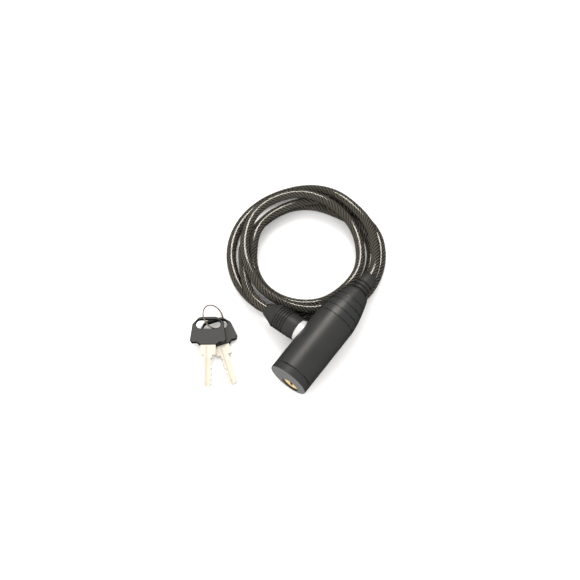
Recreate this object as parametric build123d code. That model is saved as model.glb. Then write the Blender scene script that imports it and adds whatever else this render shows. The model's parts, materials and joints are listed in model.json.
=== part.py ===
from build123d import *
import math
import os

# Coiled cable lock with a key cylinder, its locking plug in the socket, and two keys on a wire ring.
# Millimetres. Origin: the coil's centre, on the surface the lock lies on. +X right, +Z up.
# The lock itself is drawn along its own axis: x from the dust cap's face to the cable,
# y towards the plug's socket, z up, and is then laid on the surface by lay_lock().

# ---- barrel -----------------------------------------------------------------------------------
BARREL_R = 14.9
BARREL_LENGTH = 82.0
COVER_WALL = 1.5
TAPER_START = 55.0
TAPER_END_R = 8.8
TAPER_RINGS = 4
TAPER_GROOVE_WIDTH = 0.9
TAPER_GROOVE_DEPTH = 0.55
BORE_END = 50.0
BARREL_YAW = 52.5
BARREL_TILT = 5.0
SOCKET_DROOP = 3.0
CAP_FACE_X = -13.4
CAP_FACE_Y = -107.8

# ---- fits -------------------------------------------------------------------------------------
GAP = 0.3
SEAT = 0.05
RUNNING = 0.06

# ---- dust cap ---------------------------------------------------------------------------------
CAP_LENGTH = 5.6
CAP_FACE = 1.1
CAP_WALL = 1.3
CAP_JOINT = 0.6
KEY_HOLE_R = 6.9
RING_WIRE_R = 0.45

# ---- key cylinder -----------------------------------------------------------------------------
CYLINDER_Y = -1.2
CYLINDER_Z = -7.0
SHELL_R = 5.8
SHELL_END = 26.0
PLUG_R = 3.9
KEYWAY_WIDTH = 2.2
KEYWAY_HEIGHT = 6.5
KEYWAY_END = 22.0
WAFERS = 5
WAFER_START = 6.5
WAFER_PITCH = 3.1
WAFER_THICK = 0.8
WAFER_WIDTH = 3.5
WAFER_TRAVEL = 0.6
WINDOW_HALF = 2.4
WINDOW_STEP = 0.25
LUG_REACH = 1.1
LUG_HEIGHT = 0.9
SPRING_HEIGHT = 1.3
SPRING_R = 0.36
SPRING_WIRE_R = 0.08
SHELL_GROOVE = 1.0
TAIL_SIZE = 2.4
TAIL_LENGTH = 2.7
TAIL_GROOVE = 0.3

# ---- cam and locking bolt -----------------------------------------------------------------------
CAM_R = 5.2
CAM_THICK = 1.6
CLIP_THICK = 0.5
CRANK = 2.8
CRANK_PIN_R = 0.8
BOLT_PLATE = 2.0
BOLT_WALL = 0.8
BOLT_HALF_WIDTH = CRANK + CRANK_PIN_R + BOLT_WALL
BOLT_FOOT = -11.4
BOLT_SHOULDER = -3.9
TONGUE_LENGTH = 8.0
TONGUE_WIDTH = 3.4

# ---- locking plug and ferrule -------------------------------------------------------------------
SOCKET_X = 35.0
PLUG_PIN_R = 4.0
PLUG_NECK_R = 2.5
PLUG_NECK_WIDTH = 4.2
PLUG_TIP = -8.0
PLUG_SHANK_END = 30.0
SOCKET_BOTTOM = -12.0
PLUG_SPRING_R = 2.9
PLUG_SPRING_WIRE_R = 0.35
COLLAR_R = 8.0
COLLAR_SHOW = 2.2
COLLAR_SUNK = 2.8
FERRULE_R = 8.75
FERRULE_COLLAR = 9.0
FERRULE_RIBBED = 10.0
FERRULE_FLARE = 9.5
FERRULE_GROOVES = 5
FERRULE_GROOVE_WIDTH = 1.1
FERRULE_GROOVE_DEPTH = 0.8
FERRULE_CRIMP_R = 5.2
FERRULE_CRIMP_LENGTH = 24.0

# ---- cable --------------------------------------------------------------------------------------
CABLE_R = 3.5
CRIMP_R = 5.6
CRIMP_LENGTH = 12.0
CRIMP_TONGUE = 5.0
TONGUE_HALF_THICK = 1.5
TONGUE_HALF_HEIGHT = 3.7
ANCHOR_R = 1.3
BOOT_R = 6.3
BOOT_LENGTH = 16.5
BOOT_SUNK = 6.0
BOOT_NECK_R = BOOT_R - 1.8
BOOT_BAND = 1.2
BOOT_RIBS = 3
BOOT_RIB_PITCH = 3.0
BOOT_GROOVE_WIDTH = 1.1
BOOT_GROOVE_DEPTH = 0.9
BOOT_MOUTH = 5.0
COIL_OUTER_R = 58.4
COIL_INNER_R = 36.0
COIL_TOP = 22.9
COIL_UPPER_FROM = -8.0
COIL_UPPER_TO = 205.0
LEAD_STRAIGHT = 19.5
# The cable from the boot to where it joins the coil on the right.
LEAD = [(50.6, -14.0, 22.4), (49.3, 0.0, 19.8), (47.8, 12.8, 17.8)]
# The cable from where it leaves the coil on the left to the ferrule.
TAIL = [(-46.6, 0.0, 9.8), (-45.7, -12.8, 11.9), (-44.5, -25.6, 12.7), (-41.8, -36.8, 13.7)]
TAIL_STRAIGHT = 10.5
MINIMUM_RADIUS = 3 * 2 * CABLE_R

# ---- keys -----------------------------------------------------------------------------------------
HEAD_WIDTH = 26.0
HEAD_LENGTH = 21.5
HEAD_THICK = 2.9
HEAD_BRIDGE = 2.2
HEAD_SLOT_WIDTH = 17.6
HEAD_SLOT_HEIGHT = 7.0
NECK_WIDTH = 12.0
NECK_LENGTH = 1.8
SHOULDER_WIDTH = 10.8
SHOULDER_LENGTH = 7.5
BLADE_WIDTH = 5.9
BLADE_LENGTH = 31.0
BLADE_THICK = 1.9
BLADE_SUNK = 7.0
BLADE_GROOVE = 0.5
BLADE_CUTS = [(11.0, 1.3), (15.0, 0.7), (19.0, 1.5), (23.0, 0.9), (27.0, 1.2)]
KEY_1_TOP = (-70.4, -54.6, 6.0)
KEY_1_YAW = 0.5
KEY_1_DIP = 4.6
KEY_1_TURNED = 0.0
KEY_2_TOP = (-67.2, -54.5, 1.4)
KEY_2_YAW = 17.4
KEY_2_DIP = 1.2
KEY_2_TURNED = 180.0
KEY_RING_R = 9.0
KEY_RING_WIRE_R = 0.5
KEY_RING_CENTRE = (-67.1, -53.9, 6.4)
KEY_RING_TILT = 39.0

CORE_R = BARREL_R - COVER_WALL - SEAT
CORE_START = CAP_FACE + GAP
SOCKET_DEPTH = COLLAR_SUNK + GAP
FERRULE_START = BARREL_R + COLLAR_SHOW
FERRULE_END = FERRULE_START + FERRULE_COLLAR + FERRULE_RIBBED + FERRULE_FLARE
CAM_START = SHELL_END + GAP
CAM_END = CAM_START + CAM_THICK
PLATE_START = CAM_END + CLIP_THICK + 2 * GAP
PLATE_END = PLATE_START + BOLT_PLATE
BOLT_TOP = -PLUG_NECK_R - GAP - CRANK
CRANK_SLACK = 0.22 * CRANK


def rod(radius, start, end, y=0.0, z=0.0):
    """A cylinder along x from start to end."""
    return Pos(start, y, z) * Rot(0, 90, 0) * Cylinder(
        radius, end - start, align=(Align.CENTER, Align.CENTER, Align.MIN)
    )


def side_rod(radius, start, end, x=SOCKET_X, z=0.0):
    """A cylinder along y from start to end."""
    return Pos(x, start, z) * Rot(-90, 0, 0) * Cylinder(
        radius, end - start, align=(Align.CENTER, Align.CENTER, Align.MIN)
    )


def block(x, y, z):
    """A box between the two values given for each axis."""
    return Pos((x[0] + x[1]) / 2, (y[0] + y[1]) / 2, (z[0] + z[1]) / 2) * Box(
        x[1] - x[0], y[1] - y[0], z[1] - z[0]
    )


def ring(inner, outer, start, end, y=0.0, z=0.0):
    """A round washer or tube along x."""
    return rod(outer, start, end, y, z) - rod(inner, start - 1, end + 1, y, z)


def taper_radius(x):
    """The barrel's outer radius at x: straight, then a convex taper to the cable end."""
    share = max(0.0, (x - TAPER_START) / (BARREL_LENGTH - TAPER_START))
    return BARREL_R - (BARREL_R - TAPER_END_R) * share**1.6


def ferrule_radius(y):
    """The ferrule's outer radius: straight to the end of its ribs, then a flare down to the cable."""
    flare_start = FERRULE_END - FERRULE_FLARE
    share = max(0.0, (y - flare_start) / FERRULE_FLARE)
    return FERRULE_R - (FERRULE_R - CABLE_R - 1.2) * share**0.9


def lay_lock():
    """The place of the lock on the surface: its cap's rim down, its cable end raised by the coil."""
    tilt = math.radians(BARREL_TILT)
    height = BARREL_R * math.cos(tilt)
    place = Pos(CAP_FACE_X, CAP_FACE_Y, height) * Rot(0, 0, BARREL_YAW)
    return place * Rot(0, -BARREL_TILT, 0) * Rot(-SOCKET_DROOP, 0, 0)


# ---- dust cap ---------------------------------------------------------------------------------------
def cap_groove_x():
    return (CORE_START + CAP_LENGTH + CAP_JOINT) / 2


def dust_cap():
    """The turning end cap, whose off-centre hole uncovers the keyway."""
    inner = BARREL_R - CAP_WALL
    cap = rod(BARREL_R, 0, CAP_LENGTH) - rod(inner, CAP_FACE, CAP_LENGTH + 1)
    cap = fillet(cap.edges().filter_by(GeomType.CIRCLE).sort_by(Axis.X)[0], 0.7)
    cap -= rod(KEY_HOLE_R, -1, CAP_FACE + 1, CYLINDER_Y, CYLINDER_Z)
    groove = RING_WIRE_R + GAP
    x = cap_groove_x()
    return cap - ring(inner - 1, inner + RING_WIRE_R, x - groove, x + groove)


def cap_retaining_ring():
    """The sprung wire ring that keeps the cap on the core and lets it turn."""
    radius = BARREL_R - CAP_WALL - RING_WIRE_R / 2
    wire = Pos(cap_groove_x(), 0, 0) * Rot(0, 90, 0) * Torus(radius, RING_WIRE_R)
    return wire - block((0, CAP_LENGTH + 2), (-1.2, 1.2), (0, BARREL_R))


# ---- cover ------------------------------------------------------------------------------------------
def housing_cover():
    """The plastic cover: a sleeve over the core, ending in a ringed taper around the cable."""
    start = CAP_LENGTH + CAP_JOINT
    ring_pitch = (BARREL_LENGTH - TAPER_START) / (TAPER_RINGS + 0.5)
    points = [(start, BARREL_R - 0.5), (start + 0.5, BARREL_R)]
    for i in range(TAPER_RINGS):
        x = TAPER_START + i * ring_pitch
        points.append((x, taper_radius(x)))
        points.append((x, taper_radius(x) - TAPER_GROOVE_DEPTH))
        points.append((x + TAPER_GROOVE_WIDTH, taper_radius(x) - TAPER_GROOVE_DEPTH))
        points.append((x + TAPER_GROOVE_WIDTH, taper_radius(x + TAPER_GROOVE_WIDTH)))
        points.append((x + ring_pitch * 0.6, taper_radius(x + ring_pitch * 0.6)))
    points.append((BARREL_LENGTH - 1.0, TAPER_END_R + 0.4))
    points.append((BARREL_LENGTH, TAPER_END_R - 0.6))
    points += [(BARREL_LENGTH, CABLE_R + SEAT), (BORE_END + CRIMP_LENGTH + GAP, CABLE_R + SEAT)]
    points += [(BORE_END + CRIMP_LENGTH + GAP, CRIMP_R + SEAT), (BORE_END, CRIMP_R + SEAT)]
    points += [(BORE_END, CORE_R + SEAT), (start, CORE_R + SEAT)]
    profile = make_face(Plane.XZ * Polyline(*points, close=True))
    cover = revolve(profile, Axis.X)
    boot_seat = rod(BOOT_NECK_R + SEAT, BARREL_LENGTH - BOOT_SUNK, BARREL_LENGTH + 1)
    return cover - boot_seat - side_rod(COLLAR_R + GAP, 0, BARREL_R + 1)


# ---- core -------------------------------------------------------------------------------------------
def lock_core():
    """The cast core: it holds the key cylinder, guides the bolt and takes the locking plug."""
    core = rod(CORE_R, CORE_START, BORE_END - SEAT)
    turned = BARREL_R - CAP_WALL - GAP
    core -= ring(turned, BARREL_R + 1, CORE_START - 1, CAP_LENGTH + CAP_JOINT)
    wire_x = cap_groove_x()
    wire_radius = BARREL_R - CAP_WALL - RING_WIRE_R / 2
    core -= Pos(wire_x, 0, 0) * Rot(0, 90, 0) * Torus(wire_radius, RING_WIRE_R + SEAT)
    core -= rod(SHELL_R + SEAT, 0, SHELL_END, CYLINDER_Y, CYLINDER_Z)
    core -= rod(CAM_R + GAP, SHELL_END - 1, PLATE_START, CYLINDER_Y, CYLINDER_Z)
    core -= side_rod(PLUG_PIN_R + GAP, SOCKET_BOTTOM, BARREL_R)
    core -= side_rod(COLLAR_R + GAP, BARREL_R - SOCKET_DEPTH, BARREL_R + 1)
    half = BOLT_HALF_WIDTH + GAP
    low = BOLT_FOOT - GAP
    core -= block(
        (PLATE_START - GAP, PLATE_END + GAP),
        (CYLINDER_Y - half, CYLINDER_Y + half),
        (low, BOLT_SHOULDER + CRANK + GAP),
    )
    tongue = TONGUE_WIDTH / 2 + GAP
    core -= block((PLATE_END, PLATE_END + TONGUE_LENGTH + GAP), (-tongue, tongue), (low, 0))
    eye = CRIMP_TONGUE + GAP
    thick = TONGUE_HALF_THICK + GAP
    high = TONGUE_HALF_HEIGHT + GAP
    core -= block((BORE_END - eye, BORE_END + 1), (-thick, thick), (-high, high))
    return core - anchor_pin(SEAT)


def anchor_pin(extra=0.0):
    """The cross pin through the core and the cable crimp's eye."""
    x = BORE_END - CRIMP_TONGUE / 2
    return Pos(x, 0, 0) * Cylinder(ANCHOR_R + extra, 2 * (CORE_R - 1.0) + 2 * extra)


# ---- key cylinder -----------------------------------------------------------------------------------
def wafer_x(index):
    return WAFER_START + index * WAFER_PITCH


def at_cylinder(shape):
    """Moves a piece drawn on the x axis to the key cylinder's axis."""
    return Pos(0, CYLINDER_Y, CYLINDER_Z) * shape


def cylinder_shell():
    """The fixed brass shell, with a groove each way for the wafers to rise into."""
    bore = PLUG_R + RUNNING
    shell = rod(SHELL_R, CORE_START, SHELL_END) - rod(bore, 0, SHELL_END + 1)
    half = WAFER_WIDTH / 2 + GAP
    reach = bore + SHELL_GROOVE
    start = wafer_x(0) - 1.5
    end = wafer_x(WAFERS - 1) + WAFER_THICK + 1.5
    shell -= block((start, end), (-half, half), (-reach, reach))
    shell -= block((start, end), (-reach, reach), (-half, half))
    return at_cylinder(shell)


def wafer_slot(x, extra):
    """The room of one wafer in the cylinder plug, with its lug and spring pocket."""
    half = WAFER_WIDTH / 2 + extra
    slot = block((x - extra, x + WAFER_THICK + extra), (-half, half), (-PLUG_R - 1, PLUG_R + 1))
    pocket_low = -LUG_HEIGHT / 2 - SPRING_HEIGHT - SEAT
    pocket_high = LUG_HEIGHT / 2 + WAFER_TRAVEL + GAP
    return slot + block(
        (x - extra, x + WAFER_THICK + extra),
        (0, WAFER_WIDTH / 2 + LUG_REACH + SEAT),
        (pocket_low, pocket_high),
    )


def cylinder_plug():
    """The brass plug that the key turns, with its keyway, wafer slots and square tail."""
    plug = rod(PLUG_R, CORE_START, SHELL_END)
    plug -= block(
        (0, KEYWAY_END),
        (-KEYWAY_WIDTH / 2, KEYWAY_WIDTH / 2),
        (-KEYWAY_HEIGHT / 2, KEYWAY_HEIGHT / 2),
    )
    for i in range(WAFERS):
        plug -= wafer_slot(wafer_x(i), RUNNING)
    tail = block(
        (SHELL_END - 1, SHELL_END + TAIL_LENGTH),
        (-TAIL_SIZE / 2, TAIL_SIZE / 2),
        (-TAIL_SIZE / 2, TAIL_SIZE / 2),
    )
    tail -= ring(TAIL_SIZE / 2 - TAIL_GROOVE, TAIL_SIZE, CAM_END, CAM_END + CLIP_THICK)
    return at_cylinder(plug + tail)


def wafer(index):
    """One wafer: a thin plate with a window for the key and a lug for its spring."""
    x = wafer_x(index)
    half = WAFER_WIDTH / 2
    plate = block((x, x + WAFER_THICK), (-half, half), (-PLUG_R, PLUG_R))
    plate &= rod(PLUG_R - SEAT, x - 1, x + WAFER_THICK + 1)
    window_shift = WINDOW_STEP * ((index * 2) % 3 - 1)
    plate -= block(
        (x - 1, x + WAFER_THICK + 1),
        (-KEYWAY_WIDTH / 2, KEYWAY_WIDTH / 2),
        (window_shift - WINDOW_HALF, window_shift + WINDOW_HALF),
    )
    lug = block(
        (x, x + WAFER_THICK), (half - 0.2, half + LUG_REACH), (-LUG_HEIGHT / 2, LUG_HEIGHT / 2)
    )
    return at_cylinder(plate + lug)


def wafer_spring(index):
    """The small coil spring under one wafer's lug."""
    x = wafer_x(index) + WAFER_THICK / 2
    y = WAFER_WIDTH / 2 + LUG_REACH / 2
    height = SPRING_HEIGHT - 2 * SPRING_WIRE_R - 2 * SEAT
    helix = Helix(pitch=height / 4, height=height, radius=SPRING_R - SPRING_WIRE_R)
    section = Plane(origin=helix @ 0, z_dir=helix % 0) * Circle(SPRING_WIRE_R)
    spring = sweep(section, path=helix, is_frenet=True)
    base = -LUG_HEIGHT / 2 - SPRING_HEIGHT + SEAT + SPRING_WIRE_R
    return at_cylinder(Pos(x, y, base) * spring)


def cam():
    """The cam on the plug's tail, whose crank pin lifts the locking bolt."""
    disc = rod(CAM_R, CAM_START, CAM_END)
    side = TAIL_SIZE / 2 + SEAT
    disc -= block((CAM_START - 1, CAM_END + 1), (-side, side), (-side, side))
    disc += Pos(0, CRANK, 0) * rod(CRANK_PIN_R, CAM_END - 0.5, PLATE_END - GAP)
    return at_cylinder(disc)


def cam_clip():
    """The clip in the tail's groove that keeps the cam on."""
    inner = TAIL_SIZE / 2 - TAIL_GROOVE + SEAT
    clip = ring(inner, TAIL_SIZE / 2 + 0.5, CAM_END + SEAT, CAM_END + CLIP_THICK - SEAT)
    return at_cylinder(clip - block((CAM_END - 1, CAM_END + 2), (-0.9, 0.9), (-4.0, 0)))


# ---- locking bolt -----------------------------------------------------------------------------------
def locking_bolt():
    """The bolt: a slotted plate that the crank lifts, and a tongue that enters the plug's groove."""
    half = BOLT_HALF_WIDTH
    plate = block(
        (PLATE_START, PLATE_END), (CYLINDER_Y - half, CYLINDER_Y + half), (BOLT_FOOT, BOLT_SHOULDER)
    )
    room = CRANK_PIN_R + GAP
    plate -= block(
        (PLATE_START - 1, PLATE_END + 1),
        (CYLINDER_Y - room, CYLINDER_Y + CRANK + room),
        (CYLINDER_Z - room, CYLINDER_Z + room + CRANK_SLACK),
    )
    tongue = TONGUE_WIDTH / 2
    return plate + block(
        (PLATE_END, PLATE_END + TONGUE_LENGTH), (-tongue, tongue), (BOLT_FOOT, BOLT_TOP)
    )


# ---- locking plug and ferrule -------------------------------------------------------------------------
def locking_plug():
    """The steel plug: a round pin with the groove that the bolt enters."""
    plug = side_rod(PLUG_PIN_R, PLUG_TIP, BARREL_R - SOCKET_DEPTH + GAP)
    plug = chamfer(plug.edges().filter_by(GeomType.CIRCLE).sort_by(Axis.Y)[0], 1.0)
    plug += side_rod(PLUG_PIN_R - 1.0, 0, PLUG_SHANK_END)
    half = PLUG_NECK_WIDTH / 2
    neck = side_rod(PLUG_PIN_R + 1, -half, half) - side_rod(PLUG_NECK_R, -half - 1, half + 1)
    return plug - neck


def plug_collar():
    """The bright collar between the ferrule and the barrel."""
    start = BARREL_R - COLLAR_SUNK
    collar = side_rod(COLLAR_R, start, FERRULE_START)
    collar = chamfer(collar.edges().filter_by(GeomType.CIRCLE).sort_by(Axis.Y)[0], 0.6)
    collar -= side_rod(PLUG_PIN_R - 1.0 + SEAT, start - 1, FERRULE_START + 1)
    return collar - side_rod(PLUG_PIN_R + SEAT, start - 1, BARREL_R - SOCKET_DEPTH + GAP + SEAT)


def ferrule_sleeve():
    """The moulded sleeve over the cable's end: a plain collar, ribs and a flare."""
    ribs_start = FERRULE_START + FERRULE_COLLAR
    flare_start = ribs_start + FERRULE_RIBBED
    pitch = FERRULE_RIBBED / FERRULE_GROOVES
    points = [(0.0, FERRULE_START), (FERRULE_R - 0.5, FERRULE_START)]
    points.append((FERRULE_R, FERRULE_START + 0.5))
    for i in range(FERRULE_GROOVES):
        y = ribs_start + i * pitch
        points.append((FERRULE_R, y))
        points.append((FERRULE_R - FERRULE_GROOVE_DEPTH, y + 0.15))
        points.append((FERRULE_R - FERRULE_GROOVE_DEPTH, y + FERRULE_GROOVE_WIDTH - 0.15))
        points.append((FERRULE_R, y + FERRULE_GROOVE_WIDTH))
    for step in range(6):
        y = flare_start + FERRULE_FLARE * step / 5
        points.append((ferrule_radius(y), y))
    points.append((0.0, FERRULE_END))
    sleeve = revolve(make_face(Plane.XY * Polyline(*points, close=True)), Axis.Y)
    sleeve = Pos(SOCKET_X, 0, 0) * sleeve
    end = FERRULE_START + FERRULE_CRIMP_LENGTH
    sleeve -= side_rod(FERRULE_CRIMP_R + SEAT, FERRULE_START - 1, end)
    return sleeve - side_rod(CABLE_R + SEAT, end - 1, FERRULE_END + 1)


def ferrule_crimp():
    """The steel tube that joins the plug's shank to the cable's end, in two crimped bands."""
    end = FERRULE_START + FERRULE_CRIMP_LENGTH
    tube = side_rod(FERRULE_CRIMP_R, FERRULE_START, end)
    tube -= side_rod(PLUG_PIN_R - 1.0 + SEAT, FERRULE_START - 1, PLUG_SHANK_END + SEAT)
    tube -= side_rod(CABLE_R - 0.9, PLUG_SHANK_END, end + 1)
    for y in (PLUG_SHANK_END + 2.5, PLUG_SHANK_END + 7.0):
        band = side_rod(FERRULE_CRIMP_R + 1, y, y + 2.0)
        tube -= band - side_rod(FERRULE_CRIMP_R - 0.5, y - 1, y + 3)
    return tube


def plug_spring():
    """The spring at the socket's end that pushes the plug out when the lock opens."""
    room = PLUG_TIP - SOCKET_BOTTOM
    height = room - 2 * PLUG_SPRING_WIRE_R - 2 * SEAT
    helix = Helix(pitch=height / 3, height=height, radius=PLUG_SPRING_R)
    section = Plane(origin=helix @ 0, z_dir=helix % 0) * Circle(PLUG_SPRING_WIRE_R)
    spring = sweep(section, path=helix, is_frenet=True)
    return Pos(SOCKET_X, SOCKET_BOTTOM + SEAT + PLUG_SPRING_WIRE_R, 0) * Rot(-90, 0, 0) * spring


# ---- cable ------------------------------------------------------------------------------------------
def cable_crimp():
    """The crimp on the cable's fixed end, with the eye that the anchor pin goes through."""
    body = rod(CRIMP_R, BORE_END + SEAT, BORE_END + CRIMP_LENGTH)
    body -= rod(CABLE_R + SEAT, BORE_END + 2.0, BORE_END + CRIMP_LENGTH + 1)
    tongue = block(
        (BORE_END - CRIMP_TONGUE, BORE_END + 1),
        (-TONGUE_HALF_THICK, TONGUE_HALF_THICK),
        (-TONGUE_HALF_HEIGHT, TONGUE_HALF_HEIGHT),
    )
    return body + tongue - anchor_pin(SEAT)


def cable_boot():
    """The ribbed strain relief where the cable leaves the barrel."""
    start = BARREL_LENGTH - BOOT_SUNK
    end = BARREL_LENGTH + BOOT_LENGTH
    points = [(start, CABLE_R + SEAT), (start, BOOT_NECK_R), (BARREL_LENGTH + SEAT, BOOT_NECK_R)]
    points.append((BARREL_LENGTH + SEAT, BOOT_R))
    for i in range(BOOT_RIBS):
        x = BARREL_LENGTH + BOOT_BAND + i * BOOT_RIB_PITCH
        points.append((x, BOOT_R))
        points.append((x + 0.15, BOOT_R - BOOT_GROOVE_DEPTH))
        points.append((x + BOOT_GROOVE_WIDTH - 0.15, BOOT_R - BOOT_GROOVE_DEPTH))
        points.append((x + BOOT_GROOVE_WIDTH, BOOT_R))
    points.append((BARREL_LENGTH + BOOT_BAND + BOOT_RIBS * BOOT_RIB_PITCH, BOOT_R))
    points.append((end - 3.5, BOOT_R - 0.8))
    points.append((end, CABLE_R + 0.9))
    points.append((end, CABLE_R + GAP))
    points.append((end - BOOT_MOUTH, CABLE_R + SEAT))
    return revolve(make_face(Plane.XZ * Polyline(*points, close=True)), Axis.X)


def corner_radii(points):
    """The largest arc that each corner's two runs allow."""
    radii = []
    for before, here, after in zip(points, points[1:], points[2:]):
        run_in = here - before
        run_out = after - here
        turn = math.radians(run_in.get_angle(run_out))
        radii.append(0.45 * min(run_in.length, run_out.length) / math.tan(turn / 2))
    return radii


def cable_tube(points, name):
    """A round cable along straight runs joined by tangent arcs."""
    points = [Vector(*p) if isinstance(p, tuple) else p for p in points]
    radii = corner_radii(points)
    path = FilletPolyline(*points, radius=radii)
    print(name, "radii", [round(r, 1) for r in radii], "length", round(path.length, 1))
    if min(radii) < MINIMUM_RADIUS:
        print(name, "bends more tightly than the cable can")
    tube = sweep(Plane(origin=path @ 0, z_dir=path % 0) * Circle(CABLE_R), path=path)
    share = tube.volume / (math.pi * CABLE_R**2 * path.length)
    print(name, "volume over section times length", round(share, 4))
    return tube


def lock_point(x, y, z):
    """A point of the lock's own axes, on the surface."""
    return (lay_lock() * Pos(x, y, z)).position


def cable_lead():
    """The cable from its crimp, through the boot, to the coil."""
    start = lock_point(BORE_END + 2.0 + SEAT, 0, 0)
    middle = lock_point(BARREL_LENGTH + 3.0, 0, 0)
    out = lock_point(BARREL_LENGTH + LEAD_STRAIGHT, 0, 0)
    straight = cable_straight(start, middle)
    return straight + cable_tube([middle, out] + LEAD, "cable_lead")


def cable_straight(start, end):
    """A straight piece of cable between two points."""
    axis = end - start
    return Plane(origin=start, z_dir=axis) * Cylinder(
        CABLE_R, axis.length, align=(Align.CENTER, Align.CENTER, Align.MIN)
    )


def cable_tail():
    """The cable from the coil to the ferrule's end."""
    straight = lock_point(SOCKET_X, FERRULE_END + TAIL_STRAIGHT, 0)
    end = lock_point(SOCKET_X, FERRULE_START + FERRULE_CRIMP_LENGTH + SEAT, 0)
    return cable_tube(TAIL + [straight, end], "cable_tail")


def cable_coil():
    """The coil's outer shape: a full ring on the surface, and the higher turns away from the barrel."""
    width = COIL_OUTER_R - COIL_INNER_R
    middle = (COIL_OUTER_R + COIL_INNER_R) / 2
    base = Pos(middle, CABLE_R) * RectangleRounded(width, 2 * CABLE_R, CABLE_R * 0.9)
    base_ring = revolve(Plane.XZ * base, Axis.Z)
    upper_width = width - 2.4
    upper_shape = RectangleRounded(upper_width, COIL_TOP - CABLE_R, CABLE_R * 1.6)
    upper = Pos(middle, (COIL_TOP + CABLE_R) / 2) * upper_shape
    arc = revolve(Plane.XZ * upper, Axis.Z, revolution_arc=COIL_UPPER_TO - COIL_UPPER_FROM)
    return base_ring + Rot(0, 0, COIL_UPPER_FROM) * arc


# ---- keys -------------------------------------------------------------------------------------------
def key_place(top, yaw, dip, turned):
    """A key's place: its head's top edge at the ring, its tip lower, either face up."""
    middle = Pos(0, 0, HEAD_THICK / 2)
    return Pos(*top) * Rot(0, 0, yaw) * Rot(dip, 0, 0) * middle * Rot(0, turned, 0) * middle.inverse()


def head_outline():
    """The key head's outline: an arched top, one slanted shoulder and a flat foot."""
    half = HEAD_WIDTH / 2
    foot = -HEAD_LENGTH
    with BuildSketch() as sketch:
        with BuildLine():
            Polyline(
                (-half + 6.5, 0),
                (half - 6.5, 0),
                (half - 1.6, -5.5),
                (half, foot + NECK_LENGTH + 2.0),
                (half - 1.2, foot + NECK_LENGTH),
                (NECK_WIDTH / 2 + 2.0, foot + NECK_LENGTH),
                (NECK_WIDTH / 2, foot),
                (-NECK_WIDTH / 2, foot),
                (-NECK_WIDTH / 2 - 2.0, foot + NECK_LENGTH),
                (-half + 1.2, foot + NECK_LENGTH),
                (-half, foot + NECK_LENGTH + 2.0),
                (-half + 1.6, -5.5),
                close=True,
            )
        make_face()
        fillet(sketch.vertices().filter_by_position(Axis.Y, -0.1, 0.1), 4.5)
        with Locations((0, -HEAD_BRIDGE - HEAD_SLOT_HEIGHT / 2)):
            SlotOverall(HEAD_SLOT_WIDTH, HEAD_SLOT_HEIGHT, mode=Mode.SUBTRACT)
    return sketch.sketch


def key_head(place):
    """The moulded plastic head, with the slot for the ring."""
    head = extrude(head_outline(), HEAD_THICK)
    rims = head.edges().group_by(Axis.Z)
    head = chamfer(rims[-1] + rims[0], 0.45)
    return place * (head - key_blade(Pos(0, 0, 0), SEAT))


def key_blade(place, extra=0.0):
    """The flat steel blade, with its shoulder, its cuts and a groove along it."""
    middle = HEAD_THICK / 2
    low = middle - BLADE_THICK / 2 - extra
    high = middle + BLADE_THICK / 2 + extra
    foot = -HEAD_LENGTH
    half = BLADE_WIDTH / 2
    shoulder = SHOULDER_WIDTH / 2 + extra
    blade = block(
        (-shoulder, shoulder), (foot - SHOULDER_LENGTH, foot + BLADE_SUNK + extra), (low, high)
    )
    if extra:
        return blade
    tip = foot - BLADE_LENGTH
    blade += block((-half, half), (tip, foot - SHOULDER_LENGTH + 1), (low, high))
    for x in (-1, 1):
        corner = Pos(x * half, tip, middle) * Rot(0, 0, 45)
        blade -= corner * Box(2.6, 2.6, HEAD_THICK)
    for along, depth in BLADE_CUTS:
        notch = Pos(half, foot - along, middle) * Rot(0, 0, 45)
        blade -= notch * Box(depth * math.sqrt(2), depth * math.sqrt(2), HEAD_THICK)
    blade -= block((-1.6, -0.5), (tip - 1, foot - 1.5), (high - BLADE_GROOVE, high + 1))
    blade -= block((0.6, 1.5), (tip - 1, foot - 1.5), (low - 1, low + BLADE_GROOVE))
    return place * blade


def key_ring():
    """The wire ring through both key heads."""
    place = Pos(*KEY_RING_CENTRE) * Rot(0, KEY_RING_TILT, 0)
    return place * Torus(KEY_RING_R, KEY_RING_WIRE_R)


def lock_pieces():
    """Every piece of the lock that is drawn along the barrel's own axis."""
    pieces = {
        "dust_cap": dust_cap(),
        "cap_retaining_ring": cap_retaining_ring(),
        "housing_cover": housing_cover(),
        "lock_core": lock_core(),
        "anchor_pin": anchor_pin(),
        "cylinder_shell": cylinder_shell(),
        "cylinder_plug": cylinder_plug(),
        "cam": cam(),
        "cam_clip": cam_clip(),
        "locking_bolt": locking_bolt(),
        "locking_plug": locking_plug(),
        "plug_collar": plug_collar(),
        "ferrule_sleeve": ferrule_sleeve(),
        "ferrule_crimp": ferrule_crimp(),
        "plug_spring": plug_spring(),
        "cable_crimp": cable_crimp(),
        "cable_boot": cable_boot(),
    }
    for i in range(WAFERS):
        pieces[f"wafer_{i + 1}"] = wafer(i)
        pieces[f"wafer_spring_{i + 1}"] = wafer_spring(i)
    return pieces


def loose_pieces():
    """The cable and the keys, which are drawn where they lie."""
    pieces = {
        "cable_lead": cable_lead(),
        "cable_coil": cable_coil(),
        "cable_tail": cable_tail(),
        "key_ring": key_ring(),
    }
    places = [
        key_place(KEY_1_TOP, KEY_1_YAW, KEY_1_DIP, KEY_1_TURNED),
        key_place(KEY_2_TOP, KEY_2_YAW, KEY_2_DIP, KEY_2_TURNED),
    ]
    for number, place in enumerate(places, 1):
        pieces[f"key_{number}_head"] = key_head(place)
        pieces[f"key_{number}_blade"] = key_blade(place)
    return pieces


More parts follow.
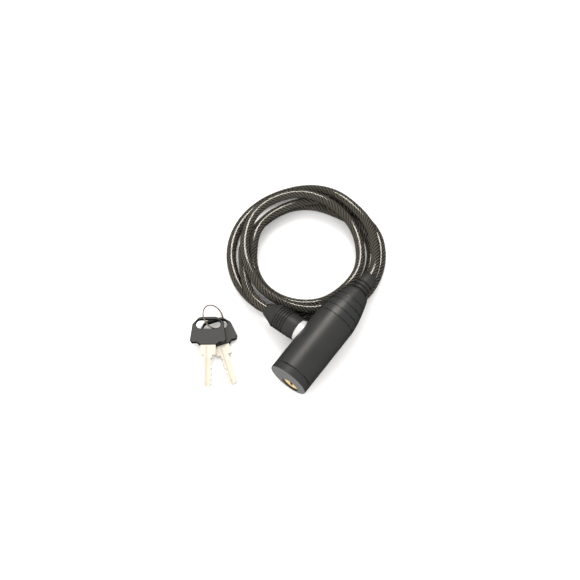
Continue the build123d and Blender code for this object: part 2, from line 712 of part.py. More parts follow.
def main():
    os.makedirs("parts", exist_ok=True)
    place = lay_lock()
    for name, piece in lock_pieces().items():
        export_step(place * piece, f"parts/{name}.step")
    for name, piece in loose_pieces().items():
        export_step(piece, f"parts/{name}.step")


if __name__ == "__main__":
    main()
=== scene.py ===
"""Coiled cable lock with its two keys: the finished pieces and their materials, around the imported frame."""

import json
import math

import bpy
import numpy as np
from bpy.props import FloatProperty, FloatVectorProperty, IntProperty, PointerProperty
from mathutils import Matrix, Vector


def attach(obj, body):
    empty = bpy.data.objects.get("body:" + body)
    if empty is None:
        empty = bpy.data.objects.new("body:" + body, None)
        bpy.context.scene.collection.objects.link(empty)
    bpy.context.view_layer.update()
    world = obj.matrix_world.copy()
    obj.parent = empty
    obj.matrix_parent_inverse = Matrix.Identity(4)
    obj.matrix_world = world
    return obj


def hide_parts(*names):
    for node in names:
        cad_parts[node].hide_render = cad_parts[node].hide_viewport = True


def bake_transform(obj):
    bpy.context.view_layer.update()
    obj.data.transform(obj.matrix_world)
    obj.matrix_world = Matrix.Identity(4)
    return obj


bl_info = {
    "name": "Coiled cable lock",
    "version": (1, 0, 0),
    "blender": (4, 5, 0),
    "location": "3D View > Sidebar > Cable lock",
    "description": "Builds a coiled cable lock with its barrel, ferrule and keys",
    "category": "Object",
}

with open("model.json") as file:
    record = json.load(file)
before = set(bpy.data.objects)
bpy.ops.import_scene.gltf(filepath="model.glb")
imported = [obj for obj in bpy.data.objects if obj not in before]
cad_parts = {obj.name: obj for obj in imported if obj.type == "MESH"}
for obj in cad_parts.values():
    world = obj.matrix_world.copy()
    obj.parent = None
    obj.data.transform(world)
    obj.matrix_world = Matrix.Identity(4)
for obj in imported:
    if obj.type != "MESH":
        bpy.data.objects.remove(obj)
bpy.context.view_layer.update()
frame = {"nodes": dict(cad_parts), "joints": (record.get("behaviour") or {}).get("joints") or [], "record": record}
JOINTS = {joint["name"]: joint for joint in frame["joints"]}
MM = 0.001

# ---- the cable's route, millimetres ---------------------------------------------------------------
# Places along the barrel's own axis where the cable runs straight: inside it, in the boot, past it.
BARREL_RUN = (72.0, 85.0, 101.5)
# Where the cable leaves the boot's tip, along the barrel's axis.
BOOT_TIP = 98.5
# Places along the plug's axis, at SOCKET_X on the barrel, where the cable runs straight into the ferrule.
SOCKET_X = 35.0
FERRULE_RUN = (56.2, 45.7, 41.2)
LEAD = [(50.6, -14.0, 22.4), (49.3, 0.0, 19.8), (47.8, 12.8, 17.8)]
TAIL = [(-46.6, 0.0, 9.8), (-45.7, -12.8, 11.9), (-44.5, -25.6, 12.7), (-41.8, -36.8, 13.7)]
STATIONS = 24
# The turns, anticlockwise from above: each station's distance from the coil's middle, then its height.
TURN_1_OUT = (49.0, 49.2, 48.4, 48.0, 48.8, 50.0, 51.8, 52.4, 52.9, 53.6, 54.2, 54.8,
              55.2, 55.4, 55.7, 55.3, 54.6, 52.8, 51.6, 51.9, 53.1, 55.1, 55.4, 55.5)
TURN_1_UP = (19.8, 17.8, 15.8, 14.9, 14.8, 12.6, 8.2, 5.2, 4.0, 3.6, 3.5, 3.5,
             3.5, 3.5, 3.5, 3.5, 3.5, 3.5, 3.5, 3.5, 3.5, 3.5, 3.5, 3.5)
TURN_2_OUT = (55.4, 55.2, 52.9, 50.0, 47.1, 42.6, 39.8, 38.2, 37.6, 38.2, 38.8, 38.9,
              38.8, 40.4, 42.2, 43.3, 43.3, 42.8, 42.7, 43.1, 42.9, 42.7, 42.2, 41.0)
TURN_2_UP = (3.5, 3.5, 3.5, 3.8, 7.1, 10.3, 10.7, 10.8, 10.8, 11.2, 11.9, 12.0,
             10.8, 9.2, 8.0, 6.6, 5.2, 4.2, 4.2, 5.2, 7.9, 10.6, 10.9, 10.8)
TURN_3_OUT = (39.5, 39.2, 39.4, 39.2, 39.3, 40.6, 42.4, 43.4, 44.2, 45.0, 45.2, 44.6,
              44.8, 45.3, 46.2, 47.6, 48.2, 49.1, 49.9, 50.1, 50.3, 49.3, 48.4, 48.2)
TURN_3_UP = (10.8, 10.9, 11.2, 13.0, 15.6, 17.2, 17.9, 18.0, 18.2, 18.8, 19.3, 19.4,
             19.3, 19.2, 18.1, 16.0, 14.2, 12.3, 10.9, 10.7, 10.2, 7.8, 4.8, 3.5)
TURN_4_OUT = (48.3, 47.6, 45.8, 42.6, 40.6, 40.6, 40.8, 40.7, 40.5, 40.6, 41.8, 43.8)
TURN_4_UP = (3.5, 3.5, 3.5, 3.5, 3.5, 3.5, 3.5, 3.5, 3.5, 3.8, 4.8, 6.6)
TURNS = ((TURN_1_OUT, TURN_1_UP), (TURN_2_OUT, TURN_2_UP), (TURN_3_OUT, TURN_3_UP), (TURN_4_OUT, TURN_4_UP))
# A spline of order 3 runs a little inside its control points on a turn of 24 stations.
CONTROL_SPREAD = 1.006
LINE_STEPS = 8
SHEATH_SIDES = 28
STRAND_SIDES = 12


def lock_axes():
    """The lock's own axes: x along the barrel from its cap, y out of the plug's socket, z across both."""
    along = Vector(JOINTS["dust_cap_turn"]["axis"])
    outwards = Vector(JOINTS["plug_pull"]["axis"])
    across = Vector(JOINTS["bolt_slide"]["axis"])
    axes = Matrix((along, outwards, across)).transposed().to_4x4()
    axes.translation = Vector(JOINTS["dust_cap_turn"]["pos_m"])
    return axes


LOCK = lock_axes()


def lock_point(x, y=0.0, z=0.0):
    """A point given on the lock's own axes in millimetres, in metres in the frame."""
    return LOCK @ (Vector((x, y, z)) * MM)


# ---- materials --------------------------------------------------------------------------------------
# Half the width over which one colour gives way to another on a piece.
COLOR_EDGE = 0.03 * MM
# How upright a flat piece's face points where the shade painted on its edges ends and its face's own colour
# begins.
EDGE_UPRIGHT = 0.9
FACE_UPRIGHT = 0.97


def new_material(name, color, roughness, metallic=0.0):
    """A material with one Principled shader: its node tree and its shader."""
    material = bpy.data.materials.new(name)
    material.use_nodes = True
    shader = material.node_tree.nodes["Principled BSDF"]
    shader.inputs["Base Color"].default_value = (*color, 1)
    shader.inputs["Roughness"].default_value = roughness
    shader.inputs["Metallic"].default_value = metallic
    material.diffuse_color = (*color, 1)
    return material, material.node_tree, shader


def place_node(tree, source="Object", scale=(1, 1, 1)):
    """The coordinates that a pattern is laid on, stretched by scale."""
    coordinates = tree.nodes.new("ShaderNodeTexCoord")
    mapping = tree.nodes.new("ShaderNodeMapping")
    mapping.inputs["Scale"].default_value = scale
    tree.links.new(coordinates.outputs[source], mapping.inputs["Vector"])
    return mapping.outputs["Vector"]


def noise_node(tree, place, scale, detail=4.0, roughness=0.55):
    noise = tree.nodes.new("ShaderNodeTexNoise")
    noise.inputs["Scale"].default_value = scale
    noise.inputs["Detail"].default_value = detail
    noise.inputs["Roughness"].default_value = roughness
    tree.links.new(place, noise.inputs["Vector"])
    return noise.outputs["Fac"]


def spread(tree, value, low, high, start=0.3, end=0.7):
    """A pattern's value spread between two levels."""
    levels = tree.nodes.new("ShaderNodeMapRange")
    levels.inputs["From Min"].default_value = start
    levels.inputs["From Max"].default_value = end
    levels.inputs["To Min"].default_value = low
    levels.inputs["To Max"].default_value = high
    tree.links.new(value, levels.inputs["Value"])
    return levels.outputs["Result"]


def blend_colors(tree, value, first, second):
    mix = tree.nodes.new("ShaderNodeMix")
    mix.data_type = "RGBA"
    mix.inputs["A"].default_value = (*first, 1)
    mix.inputs["B"].default_value = (*second, 1)
    tree.links.new(value, mix.inputs["Factor"])
    return mix.outputs["Result"]


def bump(tree, shader, height, strength, distance):
    node = tree.nodes.new("ShaderNodeBump")
    node.inputs["Strength"].default_value = strength
    node.inputs["Distance"].default_value = distance
    tree.links.new(height, node.inputs["Height"])
    tree.links.new(node.outputs["Normal"], shader.inputs["Normal"])


def scaled(color, factor):
    return tuple(min(1.0, channel * factor) for channel in color)


def moulded_material(name, color, roughness, grain=0.00002, speckle=0.12, shine=0.5):
    """Moulded plastic: a fine spark-eroded grain, slightly uneven gloss and colour."""
    material, tree, shader = new_material(name, color, roughness)
    place = place_node(tree)
    fine = noise_node(tree, place, 2600, 3)
    broad = noise_node(tree, place, 90, 3)
    tone = blend_colors(tree, broad, scaled(color, 1 - speckle), scaled(color, 1 + speckle))
    tree.links.new(tone, shader.inputs["Base Color"])
    gloss = spread(tree, broad, roughness - 0.05, roughness + 0.05)
    tree.links.new(gloss, shader.inputs["Roughness"])
    bump(tree, shader, fine, 0.35, grain)
    shader.inputs["Specular IOR Level"].default_value = shine
    return material


def metal_material(name, color, roughness, lines=(1, 1, 1), grain=0.000008, metallic=1.0):
    """Metal with drawn, turned or cast marks, whose direction comes from how lines stretches them."""
    material, tree, shader = new_material(name, color, roughness, metallic)
    marks = noise_node(tree, place_node(tree, scale=lines), 900, 4)
    broad = noise_node(tree, place_node(tree), 120, 3)
    tone = blend_colors(tree, broad, scaled(color, 0.85), scaled(color, 1.08))
    tree.links.new(tone, shader.inputs["Base Color"])
    gloss = spread(tree, marks, roughness * 0.75, roughness * 1.3)
    tree.links.new(gloss, shader.inputs["Roughness"])
    bump(tree, shader, marks, 0.3, grain)
    return material


def change_color(material, share, color):
    """Lays another colour over a material's own, by a pattern's share."""
    tree = material.node_tree
    base = tree.nodes["Principled BSDF"].inputs["Base Color"]
    own = base.links[0].from_socket
    mix = tree.nodes.new("ShaderNodeMix")
    mix.data_type = "RGBA"
    mix.inputs["B"].default_value = (*color, 1)
    tree.links.new(own, mix.inputs["A"])
    tree.links.new(share, mix.inputs["Factor"])
    tree.links.new(mix.outputs["Result"], base)


def darken_beyond(material, node, depth, color):
    """Gives a node's material another colour from depth inwards, measured from the lock's capped end; used to
    paint shade in the keyway and the cap's keyhole.
    """
    tree = material.node_tree
    to_node = node.matrix_world.inverted() @ LOCK
    inwards = to_node.col[0].to_3d()
    coordinates = tree.nodes.new("ShaderNodeTexCoord")
    along = tree.nodes.new("ShaderNodeVectorMath")
    along.operation = "DOT_PRODUCT"
    along.inputs[1].default_value = inwards
    tree.links.new(coordinates.outputs["Object"], along.inputs[0])
    start = to_node.translation.dot(inwards) + depth
    deep = spread(tree, along.outputs["Value"], 0, 1, start - COLOR_EDGE, start + COLOR_EDGE)
    change_color(material, deep, color)


def darken_sides(material, color):
    """Paints shade on the edges and sides of a flat piece, in a darker colour than on its two faces."""
    tree = material.node_tree
    coordinates = tree.nodes.new("ShaderNodeTexCoord")
    parts = tree.nodes.new("ShaderNodeSeparateXYZ")
    upright = tree.nodes.new("ShaderNodeMath")
    upright.operation = "ABSOLUTE"
    tree.links.new(coordinates.outputs["Normal"], parts.inputs[0])
    tree.links.new(parts.outputs["Z"], upright.inputs[0])
    change_color(material, spread(tree, upright.outputs[0], 1, 0, EDGE_UPRIGHT, FACE_UPRIGHT), color)


def strand_material(color):
    """The rope's strands: drawn wires laid the other way round each strand, with shade painted dark between the
    strands.
    """
    material, tree, shader = new_material("strand_steel", color, 0.6, 0.05)
    place = place_node(tree, "UV")
    wires = tree.nodes.new("ShaderNodeTexWave")
    wires.bands_direction = "DIAGONAL"
    wires.inputs["Scale"].default_value = 3.0
    wires.inputs["Distortion"].default_value = 0.6
    tree.links.new(place, wires.inputs["Vector"])
    # Painted shade: the wires go near-black towards the rope's core, between the strands, by how far out each
    # corner lies.
    crown = tree.nodes.new("ShaderNodeAttribute")
    crown.attribute_name = "crown"
    unshaded = spread(tree, crown.outputs["Fac"], 0, 1, 0.8, 1.0)
    tone = blend_colors(tree, wires.outputs["Fac"], scaled(color, 0.6), scaled(color, 1.3))
    crease_shade = tree.nodes.new("ShaderNodeMix")
    crease_shade.data_type = "RGBA"
    crease_shade.inputs["A"].default_value = (*scaled(color, 0.02), 1)
    tree.links.new(tone, crease_shade.inputs["B"])
    tree.links.new(unshaded, crease_shade.inputs["Factor"])
    tree.links.new(crease_shade.outputs["Result"], shader.inputs["Base Color"])
    bump(tree, shader, wires.outputs["Fac"], 0.4, 0.00008)
    return material


def sheath_material(color, opacity):
    """Clear smoke sheath: dark, glossy and a little scuffed, with the rope showing through it."""
    material, tree, shader = new_material("cable_sheath", color, 0.14)
    scuffs = noise_node(tree, place_node(tree, "UV"), 1.5, 4)
    tone = blend_colors(tree, scuffs, scaled(color, 0.8), scaled(color, 1.25))
    tree.links.new(tone, shader.inputs["Base Color"])
    tree.links.new(spread(tree, scuffs, 0.1, 0.17), shader.inputs["Roughness"])
    shader.inputs["Alpha"].default_value = opacity
    shader.inputs["IOR"].default_value = 1.75
    shader.inputs["Specular IOR Level"].default_value = 0.9
    return material


# ---- mouldings --------------------------------------------------------------------------------------
# The boot and the ferrule, millimetres along their own axes, and their radii.
CABLE_BORE = 3.55
BOOT_START = 76.0
BOOT_SHOULDER = 82.05
BOOT_NECK_R = 4.5
BOOT_R = 6.3
BOOT_GROOVES = (83.2, 86.2, 89.2)
BOOT_GROOVE_DEPTH = 1.1
BOOT_TAPER = ((92.2, 6.3), (95.0, 5.6), (97.0, 5.0), (BOOT_TIP, 4.4), (BOOT_TIP, 3.8), (93.5, CABLE_BORE))
FERRULE_START = 17.1
FERRULE_R = 8.75
FERRULE_GROOVES = (26.1, 28.1, 30.1, 32.1, 34.1)
FERRULE_GROOVE_DEPTH = 1.1
FERRULE_FLARE = ((36.1, 8.75), (38.5, 7.6), (41.0, 6.5), (43.5, 5.5), (45.6, 4.7), (45.6, CABLE_BORE))
FERRULE_BORE = ((41.1, CABLE_BORE), (41.1, 5.25), (FERRULE_START, 5.25))
FERRULE_CHAMFER = 0.3
GROOVE_WIDTH = 1.2
GROOVE_SLOPE = 0.15
EDGE_ROUNDING = 0.14
MOULDING_SIDES = 72
# Corners sharper than the first angle are rounded; faces that meet at less than the second shade as one.
ROUNDED_ANGLE = math.radians(25)
SMOOTH_ANGLE = math.radians(40)


def groove(start, radius, depth):
    """A groove's four corners in a round moulding's profile."""
    floor = radius - depth
    end = start + GROOVE_WIDTH
    return [(start, radius), (start + GROOVE_SLOPE, floor), (end - GROOVE_SLOPE, floor), (end, radius)]


def turned_piece(name, profile, place, material):
    """A hollow round piece: a ring drawn out along its profile and back to its start, with rounded edges."""
    bpy.ops.object.select_all(action="DESELECT")
    along, radius = profile[0]
    bpy.ops.mesh.primitive_circle_add(vertices=MOULDING_SIDES, radius=radius * MM)
    piece = bpy.context.object
    piece.name = name
    bpy.ops.object.mode_set(mode="EDIT")
    bpy.ops.mesh.select_all(action="SELECT")
    bpy.ops.transform.translate(value=(0, 0, along * MM))
    for next_along, next_radius in profile[1:] + profile[:1]:
        bpy.ops.mesh.extrude_region_move(TRANSFORM_OT_translate={"value": (0, 0, (next_along - along) * MM)})
        share = next_radius / radius
        bpy.ops.transform.resize(value=(share, share, 1), center_override=(0, 0, next_along * MM))
        along, radius = next_along, next_radius
    bpy.ops.mesh.select_all(action="SELECT")
    bpy.ops.mesh.remove_doubles(threshold=0.02 * MM)
    bpy.ops.mesh.normals_make_consistent(inside=False)
    bpy.ops.object.mode_set(mode="OBJECT")
    bevel = piece.modifiers.new("rounding", "BEVEL")
    bevel.width = EDGE_ROUNDING * MM
    bevel.segments = 2
    bevel.limit_method = "ANGLE"
    bevel.angle_limit = ROUNDED_ANGLE
    bpy.ops.object.modifier_apply(modifier=bevel.name)
    bpy.ops.object.shade_smooth_by_angle(angle=SMOOTH_ANGLE)
    piece.data.transform(place)
    piece.data.materials.append(material)
    return piece


class CABLELOCK_OT_mouldings(bpy.types.Operator):
    """Turns the boot and the ferrule, with rounded edges along their grooves"""

    bl_idname = "cablelock.mouldings"
    bl_label = "Boot and ferrule"

    def execute(self, context):
        plastic = moulded_material("soft_moulding", context.scene.cable_lock.moulding_color, 0.5)
        boot = [(BOOT_START, CABLE_BORE), (BOOT_START, BOOT_NECK_R), (BOOT_SHOULDER, BOOT_NECK_R)]
        boot.append((BOOT_SHOULDER, BOOT_R))
        for start in BOOT_GROOVES:
            boot += groove(start, BOOT_R, BOOT_GROOVE_DEPTH)
        boot += BOOT_TAPER
        ferrule = [(FERRULE_START, FERRULE_R - FERRULE_CHAMFER)]
        for start in FERRULE_GROOVES:
            ferrule += groove(start, FERRULE_R, FERRULE_GROOVE_DEPTH)
        ferrule += FERRULE_FLARE + FERRULE_BORE
        along = LOCK @ Matrix.Rotation(math.pi / 2, 4, "Y")
        outwards = LOCK @ Matrix.Translation((SOCKET_X * MM, 0, 0)) @ Matrix.Rotation(-math.pi / 2, 4, "X")
        cable_boot = turned_piece("boot_moulding", boot, along, plastic)
        sleeve = turned_piece("ferrule_moulding", ferrule, outwards, plastic)
        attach(cable_boot, "housing")
        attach(sleeve, "locking_plug")
        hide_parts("cable_boot")
        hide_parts("ferrule_sleeve")
        return {"FINISHED"}


# ---- cable ------------------------------------------------------------------------------------------
def turn_points():
    """The turns' points: one at each station, ending where the tail starts."""
    points = []
    for turn, (reach, height) in enumerate(TURNS):
        for station, (out, up) in enumerate(zip(reach, height)):
            angle = math.tau * station / STATIONS
            shared_with_lead = turn == 0 and station < 2
            if not shared_with_lead:
                spread_out = out * CONTROL_SPREAD
                points.append(Vector((spread_out * math.cos(angle), spread_out * math.sin(angle), up)) * MM)
    return points


def cable_line():
    """The cable's middle line, from inside the barrel to inside the ferrule, as its spline gives it."""
    points = [lock_point(x) for x in BARREL_RUN]
    points += [Vector(point) * MM for point in LEAD]
    points += turn_points()
    points += [Vector(point) * MM for point in TAIL]
    points += [lock_point(SOCKET_X, y) for y in FERRULE_RUN]
    curve = bpy.data.curves.new("cable_route", "CURVE")
    curve.dimensions = "3D"
    curve.resolution_u = LINE_STEPS
    spline = curve.splines.new("NURBS")
    spline.points.add(len(points) - 1)
    for control, point in zip(spline.points, points):
        control.co = (*point, 1)
    spline.order_u = 3
    spline.use_endpoint_u = True
    route = bpy.data.objects.new("cable_route", curve)
    mesh = bpy.data.meshes.new_from_object(route)
    line = np.array([vertex.co for vertex in mesh.vertices])
    bpy.data.objects.remove(route)
    bpy.data.meshes.remove(mesh)
    return line


def carried_frames(line):
    """Each point's direction and two directions across it, carried along the line without twisting."""
    along = np.gradient(line, axis=0)
    along /= np.linalg.norm(along, axis=1)[:, None]
    side = np.cross(along[0], (0, 0, 1))
    sides = []
    for direction in along:
        side = side - direction * np.dot(side, direction)
        side /= np.linalg.norm(side)
        sides.append(side)
    sides = np.array(sides)
    return along, sides, np.cross(along, sides)


def distance_along(line):
    steps = np.linalg.norm(np.diff(line, axis=0), axis=1)
    return np.concatenate(([0.0], np.cumsum(steps)))


def tube_parts(line, radius, sides, first, side):
    """One tube round a line: its corners, faces (from corner number first) and each face corner's place."""
    along = np.gradient(line, axis=0)
    up = np.cross(along, side)
    up /= np.linalg.norm(up, axis=1)[:, None]
    turn = np.arange(sides) * math.tau / sides
    ring = np.cos(turn)[None, :, None] * side[:, None] + np.sin(turn)[None, :, None] * up[:, None]
    corners = (line[:, None] + radius * ring).reshape(-1, 3)
    distance = distance_along(line) / (math.tau * radius)
    faces = []
    places = []
    for i in range(len(line) - 1):
        for j in range(sides):
            k = (j + 1) % sides
            low = first + i * sides
            faces.append((low + j, low + k, low + sides + k, low + sides + j))
            places += [(distance[i], j / sides), (distance[i], (j + 1) / sides)]
            places += [(distance[i + 1], (j + 1) / sides), (distance[i + 1], j / sides)]
    last = first + (len(line) - 1) * sides
    faces.append(tuple(first + j for j in reversed(range(sides))))
    faces.append(tuple(last + j for j in range(sides)))
    places += [(distance[0], 0.5)] * sides + [(distance[-1], 0.5)] * sides
    return corners, faces, places


def mark_crowns(piece, line, strands, sides):
    """Stores how far out each corner of the rope lies: 1 on a strand's crown, 0 by the rope's core; the strands'
    material paints shade by it.
    """
    corners = np.array([vertex.co for vertex in piece.data.vertices]).reshape(strands, len(line), sides, 3)
    out = np.linalg.norm(corners - line[None, :, None], axis=3)
    share = (out - out.min()) / (out.max() - out.min())
    crown = piece.data.attributes.new("crown", "FLOAT", "POINT")
    crown.data.foreach_set("value", share.astype(np.float32).ravel())


def tube_object(name, lines, radius, sides, directions, material):
    """A mesh of one tube round each line, its first side facing directions, with a UV map that follows it."""
    corners, faces, places = [], [], []
    for line, side in zip(lines, directions):
        more = tube_parts(line, radius, sides, sum(len(c) for c in corners), side)
        corners.append(more[0])
        faces += more[1]
        places += more[2]
    mesh = bpy.data.meshes.new(name)
    mesh.from_pydata(np.concatenate(corners).tolist(), [], faces)
    layer = mesh.uv_layers.new(name="along_and_round")
    layer.data.foreach_set("uv", np.array(places, np.float32).ravel())
    mesh.shade_smooth()
    mesh.materials.append(material)
    piece = bpy.data.objects.new(name, mesh)
    bpy.context.scene.collection.objects.link(piece)
    return piece


def strand_lines(line, sizes):
    """The strands' middle lines, wound round the cable's line, which way out each faces, and their radius."""
    _, side, up = carried_frames(line)
    reach = sizes.cable_diameter / 2 - sizes.sheath_wall
    share = math.sin(math.pi / sizes.strands)
    strand_radius = reach * share / (1 + share)
    turned = distance_along(line) / sizes.strand_lay
    lines = []
    outwards = []
    for strand in range(sizes.strands):
        angle = math.tau * (turned + strand / sizes.strands)
        offset = np.cos(angle)[:, None] * side + np.sin(angle)[:, None] * up
        outwards.append(offset)
        lines.append(line + (reach - strand_radius) * offset)
    return lines, outwards, strand_radius


class CABLELOCK_OT_cable(bpy.types.Operator):
    """Lays the cable on its route: a stranded rope in a clear smoke sheath, and its tail to the ferrule"""

    bl_idname = "cablelock.cable"
    bl_label = "Cable"

    def execute(self, context):
        sizes = context.scene.cable_lock
        line = cable_line()
        strands, outwards, strand_radius = strand_lines(line, sizes)
        across = carried_frames(line)[1]
        tail_start = np.array(TAIL[0]) * MM
        cut = int(np.argmin(np.linalg.norm(line - tail_start, axis=1)))
        sheath = sheath_material(sizes.sheath_color, sizes.sheath_opacity)
        steel = strand_material(sizes.strand_color)
        radius = sizes.cable_diameter / 2
        pieces = []
        for name, part in (("cable", slice(0, cut + 1)), ("cable_tail", slice(cut, len(line)))):
            skin = tube_object(name + "_sheath", [line[part]], radius, SHEATH_SIDES, [across[part]], sheath)
            facing = [direction[part] for direction in outwards]
            wires = [strand[part] for strand in strands]
            rope = tube_object(name + "_rope", wires, strand_radius, STRAND_SIDES, facing, steel)
            mark_crowns(rope, line[part], sizes.strands, STRAND_SIDES)
            pieces += [skin, rope]
        coil_sheath, coil_rope, tail_sheath, tail_rope = pieces
        for piece in (coil_sheath, coil_rope):
            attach(piece, "housing")
        for piece in (tail_sheath, tail_rope):
            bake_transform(piece)
        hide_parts("cable_lead", "cable_coil")
        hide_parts("cable_tail")
        return {"FINISHED"}


# ---- finishes on the frame's own nodes ------------------------------------------------------------
# How far in from the capped end, millimetres, the cap's pale face and the keyway's bright brass reach; beyond them
# the cap takes the cover's dark colour, which is painted shade in its keyhole, and the keyway takes a near-black
# painted shade.
CAP_FACE_DEPTH = 0.3
KEYWAY_SHADE_DEPTH = 1.6
# Near-black painted shade inside the keyway.
KEYWAY_PAINTED_SHADE = (0.01, 0.008, 0.006)
# How dark the shade painted on a key head's edges and sides is, beside its faces.
KEY_EDGE_SHADE = 0.2


class CABLELOCK_OT_finishes(bpy.types.Operator):
    """Gives every piece that the frame brings its own material"""

    bl_idname = "cablelock.finishes"
    bl_label = "Finishes"

    def execute(self, context):
        colors = context.scene.cable_lock
        finishes = {
            "cover_plastic": moulded_material("cover_plastic", colors.cover_color, 0.4, shine=1.0),
            "moulded_plastic": moulded_material("moulded_plastic", colors.moulding_color, 0.5),
            "key_plastic": moulded_material("key_plastic", colors.key_color, 0.55),
            "zinc": metal_material("die_cast_zinc", (0.42, 0.43, 0.44), 0.45, metallic=0.5),
            "steel": metal_material("turned_steel", (0.6, 0.6, 0.59), 0.3, metallic=0.5),
            "spring_steel": metal_material("spring_steel", (0.5, 0.49, 0.47), 0.32, metallic=0.5),
            "nickel": metal_material(
                "bright_nickel", (0.74, 0.735, 0.72), 0.35, grain=0.000002, metallic=0.3
            ),
            "brass": metal_material("machined_brass", colors.brass_color, 0.35, metallic=0.25),
            "nickel_brass": metal_material("key_metal", colors.blade_color, 0.5, (6, 1, 6), metallic=0.2),
            "ring_wire": metal_material("ring_wire", (0.4, 0.32, 0.25), 0.35, metallic=0.7),
        }
        nodes = frame["nodes"]
        cap = moulded_material("cap_plastic", colors.cap_color, 0.45)
        # The cap's face keeps its pale colour; from a little way in, its rim and keyhole wall take the cover's
        # dark colour: the rim's own plastic, and painted shade in the keyhole.
        darken_beyond(cap, nodes["dust_cap"], CAP_FACE_DEPTH * MM, colors.cover_color)
        keyway = metal_material("keyway_brass", colors.brass_color, 0.35, metallic=0.25)
        # Painted shade in the keyway: near-black brass from a little way in from the capped end.
        darken_beyond(keyway, nodes["cylinder_plug"], KEYWAY_SHADE_DEPTH * MM, KEYWAY_PAINTED_SHADE)
        # Painted shade on the key heads' edges and sides, darker than their faces.
        darken_sides(finishes["key_plastic"], scaled(colors.key_color, KEY_EDGE_SHADE))
        own = {"dust_cap": cap, "cylinder_plug": keyway}
        slots = {part["node"]: part["material_slot"] for part in frame["record"]["subparts"]}
        for name, node in nodes.items():
            finish = own.get(name) or finishes.get(slots[name])
            if finish is not None:
                node.data.materials.clear()
                node.data.materials.append(finish)
        return {"FINISHED"}


# ---- stage ------------------------------------------------------------------------------------------
FLOOR_SIZE = 8.0
FLOOR_DROP = 0.0002
FLOOR_GREY = (0.93, 0.93, 0.93)
SKY_COLOR = (1.0, 0.99, 0.98, 1)
SKY_STRENGTH = 1.5
LIT_MIDDLE = (-0.01, -0.02, 0)
CAMERA_ELEVATION = math.radians(62.5)
CAMERA_TARGET = Vector((-11.8, -28.8, 0.0)) * MM
CAMERA_DISTANCE = 1.176
CAMERA_LENS = 100
CAMERA_SENSOR = 36


def area_light(name, place, target, size, power, color):
    light = bpy.data.lights.new(name, "AREA")
    light.shape = "RECTANGLE"
    light.size, light.size_y = size
    light.energy = power
    light.color = color
    lamp = bpy.data.objects.new(name, light)
    lamp.location = place
    direction = Vector(target) - Vector(place)
    lamp.rotation_euler = direction.to_track_quat("-Z", "Y").to_euler()
    bpy.context.scene.collection.objects.link(lamp)
    return lamp


class CABLELOCK_OT_stage(bpy.types.Operator):
    """Sets the plain floor, the soft studio light and the camera above the front of the lock"""

    bl_idname = "cablelock.stage"
    bl_label = "Stage"

    def execute(self, context):
        scene = context.scene
        bpy.ops.object.select_all(action="DESELECT")
        bpy.ops.mesh.primitive_plane_add(size=FLOOR_SIZE, location=(0, 0, -FLOOR_DROP))
        floor = context.object
        floor.name = "floor"
        paper, tree, shader = new_material("floor_paper", FLOOR_GREY, 0.9)
        shade = noise_node(tree, place_node(tree), 40, 3)
        tone = blend_colors(tree, shade, (0.92, 0.92, 0.92), (0.94, 0.94, 0.94))
        tree.links.new(tone, shader.inputs["Base Color"])
        floor.data.materials.append(paper)
        floor.visible_glossy = False
        world = bpy.data.worlds.new("studio")
        world.use_nodes = True
        sky = world.node_tree.nodes["Background"]
        sky.inputs["Color"].default_value = SKY_COLOR
        sky.inputs["Strength"].default_value = SKY_STRENGTH
        world.cycles_visibility.glossy = False
        scene.world = world
        area_light("back_softbox", (0, 0.5, 1.0), LIT_MIDDLE, (0.55, 0.34), 5, (1.0, 0.94, 0.84))
        front = area_light(
            "front_softbox", (-0.55, -0.9, 0.35), LIT_MIDDLE, (0.9, 0.5), 8, (1.0, 0.98, 0.95)
        )
        front.visible_glossy = False
        away = Vector((0, -math.cos(CAMERA_ELEVATION), math.sin(CAMERA_ELEVATION)))
        camera = bpy.data.objects.new("camera", bpy.data.cameras.new("camera"))
        camera.data.lens = CAMERA_LENS
        camera.data.sensor_width = CAMERA_SENSOR
        camera.location = CAMERA_TARGET + away * CAMERA_DISTANCE
        camera.rotation_euler = (math.pi / 2 - CAMERA_ELEVATION, 0, 0)
        scene.collection.objects.link(camera)
        scene.camera = camera
        scene.view_settings.view_transform = "Standard"
        return {"FINISHED"}


# ---- sizes and colours ------------------------------------------------------------------------------
def colour_setting(name, description, default):
    return FloatVectorProperty(
        name=name, description=description, default=default, min=0, max=1, size=3, subtype="COLOR"
    )


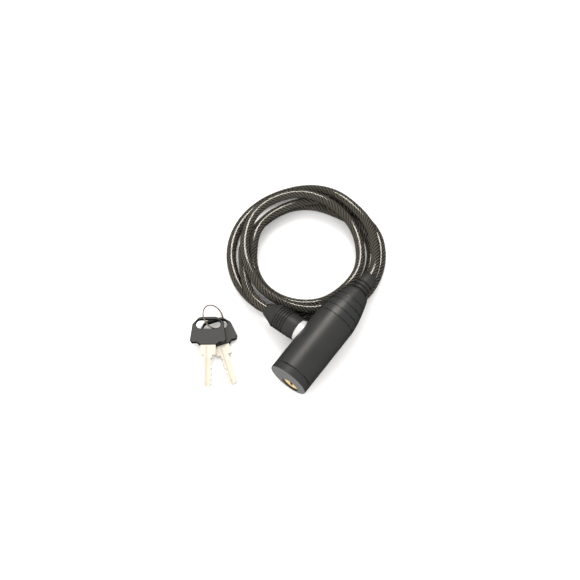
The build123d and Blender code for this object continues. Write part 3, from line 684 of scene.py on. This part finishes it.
class CableLockSettings(bpy.types.PropertyGroup):
    """The sizes and colours that change how the lock looks"""

    cable_diameter: FloatProperty(
        name="Cable diameter", description="Across the sheath", default=0.007, unit="LENGTH"
    )
    sheath_wall: FloatProperty(
        name="Sheath wall", description="From the sheath's skin to the rope", default=0.0003, unit="LENGTH"
    )
    strands: IntProperty(name="Strands", description="Strands in the rope", default=7, min=3, max=12)
    strand_lay: FloatProperty(
        name="Lay", description="Length of one turn of a strand", default=0.02, unit="LENGTH"
    )
    sheath_opacity: FloatProperty(
        name="Sheath tint",
        description="How much of the rope the smoke sheath hides",
        default=0.64,
        min=0,
        max=1,
    )
    sheath_color: colour_setting("Sheath", "Smoke colour of the sheath", (0.012, 0.011, 0.01))
    strand_color: colour_setting("Strands", "Colour of the rope's wires", (0.52, 0.48, 0.4))
    cover_color: colour_setting("Cover", "The barrel's plastic", (0.03, 0.031, 0.031))
    cap_color: colour_setting("Cap", "The dust cap's plastic", (0.125, 0.127, 0.125))
    moulding_color: colour_setting("Mouldings", "The ferrule's and boot's plastic", (0.03, 0.03, 0.028))
    key_color: colour_setting("Key heads", "The key heads' plastic", (0.042, 0.043, 0.042))
    blade_color: colour_setting("Key blades", "The key blades' metal", (0.62, 0.585, 0.51))
    brass_color: colour_setting("Brass", "The key cylinder's metal", (0.9, 0.66, 0.32))


class CABLELOCK_PT_panel(bpy.types.Panel):
    """Lists the lock's settings and the steps that build it"""

    bl_idname = "CABLELOCK_PT_panel"
    bl_label = "Cable lock"
    bl_space_type = "VIEW_3D"
    bl_region_type = "UI"
    bl_category = "Cable lock"

    def draw(self, context):
        for name in CableLockSettings.__annotations__:
            self.layout.prop(context.scene.cable_lock, name)
        for operator in OPERATORS:
            self.layout.operator(operator.bl_idname)


OPERATORS = (CABLELOCK_OT_stage, CABLELOCK_OT_mouldings, CABLELOCK_OT_cable, CABLELOCK_OT_finishes)
CLASSES = (CableLockSettings, *OPERATORS, CABLELOCK_PT_panel)


def register():
    for cls in CLASSES:
        bpy.utils.register_class(cls)
    bpy.types.Scene.cable_lock = PointerProperty(type=CableLockSettings)


def unregister():
    del bpy.types.Scene.cable_lock
    for cls in reversed(CLASSES):
        bpy.utils.unregister_class(cls)


def main():
    register()
    bpy.ops.cablelock.stage()
    bpy.ops.cablelock.mouldings()
    bpy.ops.cablelock.cable()
    bpy.ops.cablelock.finishes()


if __name__ == "__main__":
    main()
